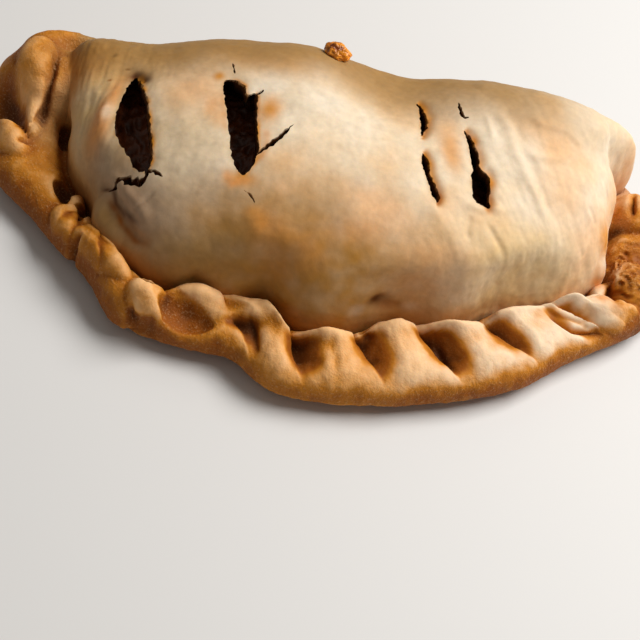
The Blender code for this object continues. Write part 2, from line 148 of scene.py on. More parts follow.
# Slashes: points of each outline, clockwise in plan from its upper left
SLASHES = (
    ((-61.6, 13.8), (-59.4, 13.4), (-57.6, 9.2), (-55.2, 4.4), (-53.2, -1), (-50.6, -7.6), (-48.6, -14),
     (-49.2, -17.2), (-52.3, -16.5), (-56.6, -11.4), (-61.3, -5.7), (-62.8, 0.5), (-62.6, 7.5)),
    ((-36.2, 11.8), (-33.6, 12.7), (-30.6, 11.2), (-29, 8.1), (-26.6, 8.6), (-25, 3), (-23.4, -3.2),
     (-21.6, -9.4), (-22.2, -14.6), (-24.2, -17), (-27.6, -12.8), (-29.8, -7.8), (-32.7, 0.7),
     (-35.4, 7.6)),
    ((16, 23.6), (17.7, 22.4), (19.5, 19), (20.2, 15.1), (19.9, 12.1), (19.1, 9.9), (18.2, 14.7),
     (17.3, 19.5)),
    ((20.3, 3.6), (22.3, 2), (24, -3.2), (26.7, -6.9), (27.5, -9.1), (26.7, -10.4), (24.2, -6.8),
     (20.9, -0.2)),
    ((29.9, 13.7), (31.6, 13.5), (33.3, 11.5), (35.3, 8.1), (36.6, 4.3), (38.6, 3.4), (40.1, 1.4),
     (40.3, -1.4), (41.1, -6.1), (38.8, -6.6), (36.3, -5.2), (34.5, 0.2), (34.2, 2.9), (31.9, 9)),
)
SLASH_SIDES = 120
# Levels of a slash from above the skin downward: depth below it, how far its left side reaches under its
# lip there, and how far its right side has closed in
SLASH_LEVELS = (
    (-7, 0, 0), (0, 0, 0), (0.7, 0.1, 0.1), (1.2, 0.5, 0.3), (1.9, 1.2, 0.5), (2.8, 2, 0.6),
    (3.9, 2.5, 0.5), (5.4, 2.7, 0.3), (8, 2.7, 0.2),
)
# Narrow tears: the greatest width, then points of the middle line
TEARS = (
    (1.3, (-51.2, -16.2), (-48.3, -17.3), (-46.5, -17.9), (-44.4, -19.2)),
    (2, (-50, -15.6), (-48.8, -18.2), (-49.8, -20), (-52.2, -19.6), (-54.6, -18.6), (-56.5, -18.5),
     (-58.8, -19.2)),
    (1.3, (-22.6, -11.8), (-20.8, -9), (-19.2, -7), (-17.7, -4.7), (-16.2, -2.1), (-14.7, 0.7)),
    (0.7, (-27.4, 8.2), (-26, 9.2), (-25.2, 10.4)),
    (1.1, (27, 24.6), (27.9, 21), (29.2, 18.6), (30.4, 18.9)),
    (0.5, (-35.8, 18.8), (-35, 16.8), (-34.2, 14.8)),
    (0.6, (-22.4, -21), (-20.6, -21.8), (-18.8, -23.4)),
)
TEAR_SIDES = 40
JAGGED = 0.9  # unevenness of a tear's width
RAGGED = 0.44  # unevenness of the torn walls
TEAR_REACH = 0.12  # share of the reach of a slash's levels that a tear's have
FAR = 1e3  # beyond any distance measured here
BATCH = 4000  # places measured at a time
SLASH_FOOT = 12  # height below which no slash reaches
SLASH_NEAR = 7  # distance from a slash up to which places are measured
LIP_REACH = 1.5  # how far from a slash its lip turns down
LIP_DROP = (0.2, 0.3, 0.35)  # by how much: on the left, on the right, and more on the right from x = 0 on

# Lines in plan that both the relief and the colours follow
MAUVE_CREASE = ((-62, -15.9), (-61, -17), (-57.4, -19.4), (-55.6, -22.2), (-51.4, -25.9), (-47.4, -28.8))
FOOT_CREASE = ((-58.5, -21), (-55, -24), (-52.5, -27.2), (-47.5, -31), (-43.5, -32.8))
RIM_CREASE = ((-45.5, -38.5), (-41, -40.8), (-36, -38.6), (-30, -36.4), (-24, -35.6))
FLAP_CREASE = ((-86.9, 22.5), (-85.9, 17), (-86, 11.5), (-86.6, 5.5), (-87.4, 1.5))
# Relief of the dome and of the rope: width and height along the skin, then the points of a line in plan
SOFT_RIDGES = (
    (3, 0.7, (24, -11), (31, -16), (37, -20.5), (46, -20)),
    (2, 0.55, (34, 28), (40.8, 19.7), (45, 12.4), (49.3, 6.4), (55.7, 0.1), (61, -3.2)),
    (1.7, -0.35, (36, 26.5), (42.8, 19.9), (47, 12.8), (51.3, 7), (57.5, 1), (62.5, -2)),
    (0.8, 0.25, (35, 20.8), (38.1, 13)),
    (1.3, 0.35, (43.2, 24.4), (50.8, 23), (58.3, 24.8), (65, 22.9)),
    (1.2, 0.3, (45.3, 15.7), (48.9, 12.2), (56.3, 14.4), (61.4, 20)),
    (1.6, 0.4, (66, 38), (70.2, 31.4), (73, 22.4), (74, 10)),
    (1, -0.4, (70.5, 38), (73.2, 32.4), (75.4, 24.4)),
    (0.9, -0.35, (36.7, -10.3), (36.7, -17)),
    (1, -0.4, (41.1, -10.6), (45, -13.5), (48.9, -15.9)),
    (1.2, 0.55, (34.9, -8.2), (38.6, -7.6), (45.7, -4.5)),
    (0.8, -0.3, (68.3, 8.7), (72.7, 6.6)),
    (0.7, -0.4, (70, -0.5), (67.8, -5.5)),
    (0.8, 0.35, (71.5, 2.4), (68.8, -3.9), (67.3, -7.9)),
    (0.7, -0.4, (73.5, 0.4), (70.8, -5), (69, -9)),
    (0.7, -1, *MAUVE_CREASE),
    (1.2, 0.6, (-60.5, -14.5), (-54.6, -20.2), (-49.4, -24.4)),
    (0.5, -0.35, (-49.9, -26.5), (-45.3, -22.6)),
    (0.7, -0.25, (-74.7, 5.7), (-73.1, -5.3)),
    (0.8, -0.25, (-72.9, 9.2), (-71.5, -4.5), (-68.1, -11)),
    (2.2, 0.9, (-66, 9), (-66.8, 1), (-65, -6), (-60.5, -11)),
    (0.9, -1.2, *FOOT_CREASE),
    (1.6, 1.3, (-61, -20.5), (-56.5, -26.5), (-51.5, -31), (-46, -35)),
    (1.2, 0.5, (-54.5, -21), (-49, -25), (-44.5, -29.5)),
    (1.5, 0.5, (-66.6, 3), (-66.4, 0), (-65.4, -2.4)),
    (1.1, -0.8, (-62.6, 15.6), (-60.6, 13.2), (-58, 12.2)),
)
GROOVES = (
    (1.1, -2.4, (-50.7, -27.9), (-46.2, -29.8), (-43.8, -31.3), (-40.2, -34.1), (-37.9, -34.6)),
    (1.2, -2.6, (-80, 10.5), (-78.8, 6), (-77.9, 2)),
    (0.8, -1.7, *FLAP_CREASE),
    (1.8, -1.4, (-101.5, 17), (-97.5, 12.5), (-93.6, 7.5), (-91.4, 3)),
    (1.3, -0.7, (9, -43.5), (11.2, -48.4), (12.6, -52.5)),
    (0.9, -0.8, (36.8, -33.1), (39.3, -37.4), (43.1, -40.9)),
    (0.9, -1, (-13.2, -40.3), (-10.9, -46), (-8.7, -51.8)),
    (0.75, -2, (-44.6, -47), (-43.6, -49), (-41.4, -50), (-38.6, -50.3), (-35.8, -49.9)),
    (2.2, 2.2, (-36.8, -41), (-31.5, -39), (-26, -38), (-19, -37), (-13, -38.8), (-8.2, -41.5)),
    (1.1, -2.6, (66, -14.5), (72.9, -17.3), (78, -16.5), (83, -14)),
    (0.8, -1.2, (-89.6, -3.5), (-86.8, -2.3)),
    (1, -2, (-64, -29.4), (-64.8, -33.3)),
    (0.7, -1.8, (85.5, 35.5), (85, 29), (85.8, 25)),
    (1.9, 1.5, (75.4, 11), (77.2, 5), (78.6, 0), (80.4, -6.4)),
    (0.8, -1.6, (80.2, 8), (81.6, 1), (83.4, -6.6)),
    (0.8, -1.6, *RIM_CREASE),
)
# Pockets and lumps, with the numbers that a lobe has
POCKETS = (
    (-73, -13.5, 5.2, 3, -70, 3.2),
    (-66.2, -19.3, 3.4, 2.2, -70, 2.8),
    (18.8, -36.5, 3.4, 2.2, 0, 3.4),
)
LUMPS = (
    (-68.3, -17.5, 6, 2.6, -75, 1.2),
    (-57.5, -25.5, 9, 4, -45, 1.4),
    (-29.5, -45, 8, 4.4, -8, -2),
)

# Grain of the skin: its heading and its size along, across and upward
GRAIN_HEADING = -52
GRAIN_SIZE = (6, 1.5, 3)
KNOT = (86.5, 6.5, 5.5, 9)  # crumbly place at the right end: x, y, reach along X and along Y

# Colours of baked dough and of what is in it, and the near-black painted shade inside it, as the eye sees
# them, 0 to 255
CREAM = (232, 217, 194)
WHEAT = (229, 197, 152)
PEACH = (234, 184, 134)
ORANGE = (222, 150, 82)
CREST = (242, 191, 134)
GOLD = (212, 138, 38)
TOAST = (152, 82, 6)
BROWN = (84, 40, 2)
OLIVE = (156, 120, 70)
TAN = (176, 124, 52)
SAND = (216, 176, 108)
MAUVE = (158, 126, 98)
CRUMB = (104, 58, 20)
# near-black painted shade on the crust's inner walls, on the walls of the tears and deep in the slashes
INSIDE_SHADE = (26, 14, 6)
MEAT = (74, 36, 14)
SAUCE = (128, 62, 22)
MELTED = (240, 152, 36)
BURNT = (128, 58, 8)
# Marks on the skin: x, y, z, reach in plan and in height, height added there, strength, colour
MARKS = (
    # the first two: a dent by the crease, darkened with painted shade
    (19, -31, 18.8, 3.2, 2.6, -1.2, 0.85, BROWN),
    (21.5, -30, 16.4, 3.4, 1.8, -0.5, 0.5, TOAST),
    (13, -33.4, 17.6, 2.6, 2.2, 0, 0.3, CREAM),
    (27.8, -28.4, 16.5, 2.6, 2, 0, 0.3, CREAM),
    (49, -23.5, 13.5, 4, 1.8, -0.5, 0.4, BROWN),
    (-2, -37, 14, 5, 2.4, -0.4, 0.35, TOAST),
    (76.2, 8.5, 22, 4, 5, 0, 0.7, ORANGE),
    (78.4, 1, 16, 3, 5, 0, 0.8, ORANGE),
    (80.6, -6.6, 15, 2.6, 3.4, 0, 0.7, ORANGE),
    (83.6, -7.6, 13, 2.4, 3, 0, 0.9, TOAST),
    (82.4, 24, 20, 3.2, 9, 0, 0.6, ORANGE),
    (77, 9, 23, 3.4, 6, 0, 0.7, GOLD),
    (85, 42, 16, 7, 11, 0, 0.5, ORANGE),
    (85.4, 29, 18, 1.6, 6, 0, 0.8, TOAST),
    (86.5, 6.5, 14, 6.5, 6, 0, 0.65, TOAST),
    (82.5, 22, 12, 3.4, 4, 0, 0.9, BROWN),
    (-92, 17, 22, 6, 5, 0, 0.45, GOLD),
    (-49.5, -14.5, 38, 2.6, 3, 0, 0.35, ORANGE),
)
# Thin creases: a line in plan, its width, strength and colour; the first four, dark, are painted shade in
# those creases
CREASES = (
    (MAUVE_CREASE, 0.55, 0.7, BROWN),
    (FOOT_CREASE, 0.8, 0.75, TOAST),
    (RIM_CREASE, 0.8, 0.9, BROWN),
    (FLAP_CREASE, 0.8, 0.7, BROWN),
    (((-62.8, 15.8), (-60.6, 13.4), (-57.6, 12.4)), 1.3, 1, BROWN),
    (((-67.9, 4.5), (-67.6, -1), (-66, -4.8)), 1.1, 0.7, ORANGE),
    (((-35.9, 8), (-33.8, 1.5), (-31.2, -6)), 0.9, 0.5, ORANGE),
    (((-21.4, -2), (-20, -8), (-21.4, -13)), 1.2, 0.7, ORANGE),
    (((-29.4, -16.5), (-26, -19.6), (-21.6, -17.6)), 1.1, 0.8, ORANGE),
)
# Patches of colour: x, y, half length, half width, heading, strength, colour
PATCHES = (
    (-74, 8, 20, 28, 0, 0.7, SAND),
    # dark low front of the dome: partly its own colour, partly painted shade
    (-8, -34, 54, 17, 3, 0.95, TAN),
    (-12, -22, 26, 9, 12, 0.45, TAN),
    (46, -36, 24, 6, 18, 0.5, TAN),
    (-52, -23, 17, 7, -42, 0.9, MAUVE),
    (-64.5, -10, 11, 3.6, -64, 0.7, MAUVE),
    (-57.5, -26.5, 13, 3.6, -45, 0.75, OLIVE),
    (-30, -33, 14, 3.4, 8, 0.6, OLIVE),
    (-36, 42, 52, 17, 2, 1, TAN),
    (-46, 26, 22, 9, 0, 0.5, TAN),
    (20, 46, 30, 9, 2, 0.6, OLIVE),
    (-80, 28, 14, 14, 0, 1, GOLD),
    (-84, 24, 9, 12, 0, 0.8, TOAST),
    (-72, 32, 9, 6, 0, 0.6, TOAST),
    (-60, 13.4, 4.2, 3, -30, 1, BROWN),
    (-65.4, 7, 2.8, 8, -5, 0.75, ORANGE),
    (-66.3, -4, 3.4, 5.4, 0, 0.8, ORANGE),
    (-66, 0.5, 2.4, 2.8, 0, 0.55, CREAM),
    (-45, 7, 8, 8, 0, 0.75, PEACH),
    (-37.4, 3, 2.2, 4, 10, 0.5, ORANGE),
    (-34.8, -0.9, 1.8, 3.6, 8, 0.7, PEACH),
    (-38.2, 13.3, 1.5, 1.5, 0, 0.9, GOLD),
    (-41, -12, 9, 7, 0, 0.7, CREAM),
    (-22, 4, 3.2, 4.6, 0, 0.75, GOLD),
    (-24, -18, 4, 2.2, 0, 0.8, GOLD),
    (-18.2, -25.5, 2.6, 1.6, 0, 0.6, GOLD),
    (-15.7, -27.4, 1.8, 1.8, 0, 0.55, GOLD),
    (-12.9, -18.2, 2.6, 1.8, 0, 0.45, PEACH),
    (13, -17, 10, 5, -12, 0.8, PEACH),
    (0, 22, 16, 5, 0, 0.35, WHEAT),
    (26, 12, 3.4, 8, 20, 0.7, PEACH),
    (28, 5, 2.6, 6, 20, 0.7, GOLD),
    (56, 20, 13, 6, -14, 0.65, PEACH),
    (62, 6, 12, 8, -40, 0.45, PEACH),
    (56, -12, 22, 8, 18, 0.6, SAND),
    (-45, -8, 14, 10, -30, 0.35, SAND),
    (77.5, 20, 3, 18, -4, 0.8, PEACH),
    (72, 3, 4, 10, -20, 0.7, PEACH),
    (-69.4, 21.8, 1, 0.6, 30, 1, BROWN),
    (-64.5, 17.1, 0.7, 0.5, 0, 1, BROWN),
    (-68.4, 12.9, 0.6, 0.5, 0, 0.8, TOAST),
    (-14, -28, 5, 3.6, 0, 0.4, ORANGE),
    (-4, -31, 7, 3.6, -10, 0.4, ORANGE),
    (8, -24, 9, 3, 10, 0.3, ORANGE),
    (30, -24, 11, 4, 20, 0.35, ORANGE),
    (-26, 22, 12, 5, 0, 0.3, GOLD),
)

# Layers over the dome's patches: colour and strength, then ranges over which it comes in, each of a number
# that is picked and its two ends
X, Y, Z, SUNK, BACK = range(5)
DOME_LAYERS = (
    # the first two rows darken the dome's low front towards the crease: partly its own colour, partly
    # painted shade
    (TAN, 0.7, (Z, 26, 10), (X, 70, 30)),
    (TOAST, 0.55, (Z, 16, 9), (X, 40, -10)),
    (TAN, 0.75, (BACK, 9, 34), (X, 62, 15)),
    (OLIVE, 0.85, (BACK, 12, 32), (X, 80, 35)),
)
# Browning of the rope, with painted shade on its lower outer band and in its sunk hollows: its amount, then
# such ranges
ROPE_TOAST_AND_SHADE = (
    # lower outer band: browned, and painted shade on the side turned from the lamp
    (0.62, (Z, 13.5, 6.5), (X, 130, 60)),
    (0.34, (Z, 14.5, 8), (X, 10, 50)),
    # sunk hollows: browned, and painted shade where they lie deep
    (1, (SUNK, 0.3, 2.6), (X, 86, 48)),
    (-0.28, (Z, 10, 16), (X, 0, 50), (X, 92, 70)),
    (0.75, (X, 77, 85), (Y, -16, -3)),
    (0.25, (Y, 10, 16), (X, -66, -80)),
)
# In a cut the crumb is darkened inward by painted shade, between these depths
RIM_DEPTHS = (0.45, 3)  # depth in a cut from which the crumb shows, and at which it is darkest
DOUGH_TEXTURES = ((420, 5, 0.6), (1500, 3, 0.6), (900, 4, 0.65))  # scale, detail, roughness
DUST = (0.8, 0.52, 0.26, 1)  # pale grains on the browned dough

# Filling
FILLING_SHARE = 0.80
FILLING_DRAFT = 0.955
FILLING_MERIDIANS = 512
FILLING_RINGS = 150
GAP = 0.6

# Browned cheese behind the crown
CHEESE_SPOT = (-9, 33.4)
CHEESE_SIZE = (3.7, 2.9, 2.8)
CHEESE_RISE = 1

# Camera, from the photograph's perspective
PITCH, ROLL, VIEW = map(math.radians, (52, 14.5, 27))
PIXELS_PER_MM = 3.59
TARGET = (5, -26.5, 0)
PICTURE = 640
WINDOW = (0.44, 0.24, 0.69)


# ---- numbers

def step(low, high, value):
    """Smooth step from 0 at low to 1 at high."""
    t = np.clip((value - low) / (high - low), 0, 1)
    return t * t * (3 - 2 * t)


def cos_sin(degrees):
    """Cosine and sine of an angle."""
    angle = np.radians(degrees)
    return np.cos(angle), np.sin(angle)


def along_side(x, y, heading):
    """Distances along a heading and to the left of it."""
    c, s = cos_sin(heading)
    return x * c + y * s, y * c - x * s


def hump(x, y, at_x, at_y, reach_x, reach_y, power=1):
    """1 at a place in plan, fading to 0 round it, flatter in the middle with a high power."""
    return np.exp(-((((x - at_x) / reach_x) ** 2 + ((y - at_y) / reach_y) ** 2) ** power))


def lengths(line, weight=1):
    """Distance run along a line at each of its points."""
    return np.concatenate(([0], np.cumsum(weight * np.linalg.norm(np.diff(line, axis=0), axis=1))))


def bumps(heading, table):
    """Sum of the rounded changes that a table of (heading, spread, amount) makes."""
    total = np.zeros_like(heading)
    for at, spread, amount in table:
        away = (heading - at + 180) % 360 - 180
        total += amount * np.exp(-((away / spread) ** 2))
    return total


def noise(points, scale, seed=0):
    """Smooth noise, about -1 to 1, with features of a size in millimetres."""
    random = np.random.RandomState(seed)
    table = random.permutation(256)
    slopes = random.normal(size=(256, 3))
    slopes /= np.linalg.norm(slopes, axis=1)[:, None]
    spot = points / scale
    cell = np.floor(spot).astype(int)
    part = spot - cell
    fade = part**3 * (part * (part * 6 - 15) + 10)
    total = np.zeros(spot.shape[:-1])
    for corner in itertools.product((0, 1), repeat=3):
        at = cell + corner
        pick = table[(table[(table[at[..., 0] & 255] + at[..., 1]) & 255] + at[..., 2]) & 255]
        weight = np.prod(np.where(corner, fade, 1 - fade), axis=-1)
        total += weight * np.sum(slopes[pick] * (part - corner), axis=-1)
    return total * 1.5


def near_plan(points, line, reach):
    """Which points lie within a reach of a line's box in plan."""
    plan = points[:, :2]
    return np.all((plan > np.min(line, axis=0) - reach) & (plan < np.max(line, axis=0) + reach), axis=1)


def near_line(points, line, width):
    """1 on a line in plan and 0 beyond about twice a width of it, fading towards its ends."""
    line = np.array(line)
    near = near_plan(points, line, 2.6 * width)
    spots = points[near, :2]
    best, where = np.full(len(spots), FAR), np.zeros(len(spots))
    done = 0
    for a, b in zip(line, line[1:]):
        length = np.linalg.norm(b - a)
        t = np.clip(((spots - a) @ (b - a)) / length**2, 0, 1)
        gap = np.linalg.norm(spots - a - t[:, None] * (b - a), axis=1)
        better = gap < best
        best = np.where(better, gap, best)
        where = np.where(better, done + t * length, where)
        done += length
    ends = np.minimum(where, done - where) / (0.22 * done)
    total = np.zeros(len(points))
    total[near] = np.exp(-((best / width) ** 2)) * step(-0.35, 1, ends)
    return total


# ---- form

def superellipse(heading, half_length, depth, power):
    """Radius of a superellipse."""
    c, s = cos_sin(heading)
    return (np.abs(c / half_length) ** power + np.abs(s / depth) ** power) ** (-1 / power)


def dome_plan(heading):
    """Radius of the dome."""
    turned = heading - DOME_TURN
    back = step(0.1, 0.36, np.sin(np.radians(turned)))
    plan = superellipse(turned, *DOME_FRONT) * (1 - back) + superellipse(turned, *DOME_BACK) * back
    return plan + bumps(heading, DOME_PUSHES)


def rope_share(heading):
    """1 where the rope runs, 0 along the plain back."""
    turned = (heading - 90) % 360 + 90
    return step(*ROPE_LEFT, turned) * (1 - step(*ROPE_RIGHT, turned))


def outline(heading):
    """Radius of the outer edge."""
    front, back = superellipse(heading, *ROPE_FRONT), superellipse(heading, *ROPE_BACK)
    rope = np.where(np.sin(np.radians(heading)) < 0, front, back) + bumps(heading, OUTLINE_PUSHES)
    share = rope_share(heading)
    return rope * share + (dome_plan(heading) + FOLD_LIP) * (1 - share)


def rope_width(heading):
    """Width from the outer edge in to the crease."""
    return FOLD_LIP + (ROPE_WIDTH - FOLD_LIP + bumps(heading, WIDTH_CHANGES)) * rope_share(heading)


def axes(points):
    """Views of the x, y and z of points."""
    return np.moveaxis(points, -1, 0)


def place(heading, radius, height):
    """Points at a heading, a radius and a height."""
    c, s = cos_sin(heading)
    return np.stack(np.broadcast_arrays(MIDDLE[0] + radius * c, MIDDLE[1] + radius * s, height), axis=-1)


def polar(x, y):
    """Heading and radius of a place in plan."""
    x, y = x - MIDDLE[0], y - MIDDLE[1]
    return np.degrees(np.arctan2(y, x)), np.hypot(x, y)


def swell(x, y):
    """Height that the swellings add at a place in plan."""
    return sum(height * hump(x, y, at_x, SWELL_LINE, *SWELL_REACH) for at_x, height in SWELLS)


def crease_floor(heading):
    """Height of the valley between dome and rope."""
    share = rope_share(heading)
    valley = CREASE_HEIGHT + bumps(heading, CREASE_CHANGES)
    return valley * share + (DOME_BELT - 0.3) * (1 - share)


def with_shoulder(points, part):
    """Raise points to the filled corner at the left, blended in, and to the flap that lies on it."""
    x, y, z = axes(points)
    corner = SHOULDER_HEIGHT * hump(x, y, *SHOULDER, 2)
    z += part * SHOULDER_BLEND * np.logaddexp(0, (corner - z) / SHOULDER_BLEND)
    ear = np.max([mound(x, y, *flap, EAR_EDGE) for flap in EARS], axis=0)
    z += part * (ear - mound(x, y, *EAR_VALLEY, DIMPLE_EDGE))
    return points


def dome(heading, share, inset=0):
    """Points of the dome: share 0 at the crown, 1 at the belt."""
    crease = outline(heading) - rope_width(heading)
    near = step(0.75, 1, share)
    radius = share * (dome_plan(heading) * (1 - near) + crease * near - inset)
    backward = step(-0.3, 0.3, np.sin(np.radians(heading - DOME_TURN)))
    power = ROUNDNESS[0] + (ROUNDNESS[1] - ROUNDNESS[0]) * backward
    rise = np.maximum(0, 1 - share**power) ** (1 / power)
    points = place(heading, radius, 0)
    height = DOME_HEIGHT - DOME_BELT - inset + swell(points[..., 0], points[..., 1])
    points[..., 2] = np.maximum(DOME_BELT + height * rise, crease_floor(heading))
    return with_shoulder(points, 1) if inset == 0 else points


def skin_height(x, y):
    """Height of the dome's skin at places in plan."""
    heading, reach = polar(x, y)
    low, high = np.zeros_like(reach), np.ones_like(reach)
    for _ in range(22):
        share = (low + high) / 2
        at_x, at_y, height = axes(dome(heading, share))
        short = polar(at_x, at_y)[1] < reach
        low, high = np.where(short, share, low), np.where(short, high, share)
    return height


def smooth_curve(points, count, closed=True):
    """Evenly numbered places on a smooth curve through points."""
    points = np.array(points, float)
    if closed:
        points = np.concatenate((points[-1:], points, points[:2]))
    else:
        points = np.concatenate((points[:1], points, points[-1:]))
    spans = len(points) - 3
    t = np.arange(count) * spans / count if closed else np.linspace(0, spans, count)
    at = np.minimum(t.astype(int), spans - 1)
    u = (t - at)[:, None]
    a, b, c, d = points[at], points[at + 1], points[at + 2], points[at + 3]
    square, cube = 2 * a - 5 * b + 4 * c - d, 3 * b - a - 3 * c + d
    return 0.5 * (2 * b + (c - a) * u + square * u**2 + cube * u**3)


def tear_outline(width, *line):
    """Closed outline of a torn gap, jagged and pointed at both ends."""
    middle = smooth_curve(line, TEAR_SIDES, closed=False)
    along = np.gradient(middle, axis=0)
    along /= np.linalg.norm(along, axis=1)[:, None]
    side = np.stack((-along[:, 1], along[:, 0]), axis=1)
    half = 0.5 * width * np.sin(np.linspace(0.04, np.pi - 0.04, TEAR_SIDES)) ** 0.7
    spots = np.column_stack((middle, np.zeros(TEAR_SIDES)))
    one, other = (half * (1 + JAGGED * noise(spots, 1.3, seed)) for seed in (43, 44))
    return np.concatenate((middle + side * one[:, None], (middle - side * other[:, None])[::-1]))


def outlines():
    """Outlines of all the slashes and tears."""
    return [smooth_curve(slash, SLASH_SIDES) for slash in SLASHES] + [tear_outline(*tear) for tear in TEARS]


def pleat(heading, across):
    """(share of a crest's height, depth of the hollow): each hollow climbs slowly to a crest, whose face
    slopes down to an edge that breaks off into the next hollow."""
    turned = (heading - 90) % 360 + 90
    turned, across = np.broadcast_arrays(turned, across)
    height, depth = np.ones(turned.shape), np.zeros(turned.shape)
    for (in_a, out_a, depth_a, _), (in_b, out_b, depth_b, face_b) in zip(PLEATS, PLEATS[1:]):
        a = in_a + (out_a - in_a) * across
        b = in_b + (out_b - in_b) * across
        share = (turned - a) / (b - a)
        here = (share >= 0) & (share < 1)
        face = np.clip(face_b * (1 + PLEAT_SPREAD * step(0.4, 1, across)), 0, 0.8)
        climb = step(-0.02, 0.82 - 0.7 * face, share)
        slope = 1 - (1 - PLEAT_EDGE) * np.clip((share - 1 + face) / face, 0, 1) ** 1.8
        broken = PLEAT_EDGE * step(PLEAT_DROP, 0, share)
        height = np.where(here, np.maximum(broken, climb * slope), height)
        depth = np.where(here, depth_a + (depth_b - depth_a) * step(0.4, 0.8, share), depth)
    return height, depth


def mound(x, y, at_x, at_y, long, wide, heading, height, edge=0.7):
    """Height of one rounded mound, narrower at its leading end and steeper at the rim with a low edge."""
    along, side = along_side(x - at_x, y - at_y, heading)
    along = along / long
    side = side / (wide * (1 - 0.25 * np.clip(along, -1, 1)))
    return height * np.clip(1 - along**2 - side**2, 0, 1) ** edge


def lobes(x, y):
    """Height that the lobes and dimples of the rope add at a place in plan."""
    raised = np.max([mound(x, y, *lobe) for lobe in LOBES], axis=0)
    return raised - np.sum([mound(x, y, *dimple, DIMPLE_EDGE) for dimple in DIMPLES], axis=0)


def hollows(heading, turn):
    """(crest height, depth, share of it that is open, fall) of the pleats at an angle round the section."""
    out, up = cos_sin(turn)
    across = (1 + out) / 2
    height, depth = pleat(heading, across)
    wider = bumps(heading, LIP_CHANGES)
    opened = step(PLEAT_LIP[0] + wider, PLEAT_LIP[1] + wider, across)
    cup = opened * step(PLEAT_END[1], PLEAT_END[0], across) * step(0, 0.3, up) * rope_share(heading)
    return height, depth, cup, depth * (1 - height) * cup


def rope(heading, turn):
    """Points of the rope at angles round its section."""
    half = rope_width(heading) / 2
    share = rope_share(heading)
    top = DOME_BELT - 0.5 + (ROPE_HEIGHT + bumps(heading, HEIGHT_CHANGES) - DOME_BELT + 0.5) * share
    out, up = cos_sin(turn)
    across = (1 + out) / 2
    height, depth, cup, fall = hollows(heading, turn)
    lift = np.where(up > 0, up * (top - ROPE_BELT), -ROPE_BELT * up / cos_sin(ROPE_TURN[1])[1])
    inset = (FOOT_INSET * share + FOLD_INSET * (1 - share)) * step(0, 1, -up)
    radius = outline(heading) - half + half * np.sign(out) * np.abs(out) ** 0.85 - inset
    radius -= fall * np.maximum(0, out)
    points = place(heading, radius, np.maximum(0, ROPE_BELT + lift - fall * up))
    x, y, z = axes(points)
    hold = np.where(across < 0.5, step(0, PLEAT_LIP[1], across) * share, cup)
    shift = PLEAT_LEAN * height * hold * depth / PLEAT_DEPTH
    c, s = cos_sin(heading)
    x -= shift * s
    y += shift * c
    tip = np.exp(-(((across - TIP_PLACE) / TIP_REACH) ** 2)) * depth / PLEAT_DEPTH * share
    z += (PLEAT_TIP * height - PLEAT_DIP * (1 - height)) * tip
    z[...] = np.where(out < 0, np.maximum(z, crease_floor(heading)), z)
    z += lobes(x, y) * step(0, 0.5, up)
    return with_shoulder(points, np.where(out < 0, 1, step(0, 0.5, up)))


def slash_gap(points, lines):
    """(distance in plan from the nearest outline, 0 within it; 1 at its right side, 0 at its left)."""
    best, right = np.full(len(points), FAR), np.zeros(len(points))
    for line in lines:
        edge = smooth_curve(line[::-1], 3 * len(line))
        along = np.roll(edge, -1, axis=0) - np.roll(edge, 1, axis=0)
        near = np.nonzero(near_plan(points, edge, SLASH_NEAR) & (points[:, 2] > SLASH_FOOT))[0]
        for some in np.array_split(near, 1 + len(near) // BATCH):
            away = points[some, None, :2] - edge[None]
            gap = np.hypot(away[..., 0], away[..., 1])
            at = np.argmin(gap, axis=1)
            away, gap = away[np.arange(len(some)), at], gap[np.arange(len(some)), at]
            out = away[:, 0] * along[at, 1] - away[:, 1] * along[at, 0]
            gap = np.where(out > 0, gap, 0)
            facing = step(-0.4, 0.4, along[at, 1] / (np.hypot(*along[at].T) + 1e-9))
            better = gap < best[some]
            best[some] = np.where(better, gap, best[some])
            right[some] = np.where(better, facing, right[some])
    return best, right


def mark_share(points, at_x, at_y, at_z, wide, high):
    """1 at a mark's place, fading to 0 round it."""
    away = (points - (at_x, at_y, at_z)) / (wide, wide, high)
    return np.exp(-(np.sum(away**2, axis=-1) ** 1.4))


def grain_relief(points, domed):
    """Height of the skin's grain, and of the crumbs at the right end."""
    x, y, z = points.T
    right = step(15, 55, x) * domed
    grain = np.column_stack((*along_side(x, y, GRAIN_HEADING), z)) / GRAIN_SIZE
    total = right * (0.18 * noise(grain, 1.6, 5) + 0.05 * noise(grain, 0.7, 6))
    total += right * step(36, 24, z) * 0.3 * noise(grain, 2.6, 11)
    total += step(-45, -70, x) * domed * 0.2 * noise(points, (1.3, 7, 3), 7)
    total += 0.45 * noise(points, 13, 1) + 0.2 * noise(points, 5, 2) + 0.06 * noise(points, 1.9, 3)
    total += (1 - domed) * (0.1 * noise(points, 1.1, 4) + 0.22 * noise(points, 3.2, 8))
    crumbs = np.abs(noise(points, 2.6, 9)) + 0.5 * np.abs(noise(points, 1.2, 10))
    return total + hump(x, y, *KNOT) * (1.1 - 2.8 * crumbs)


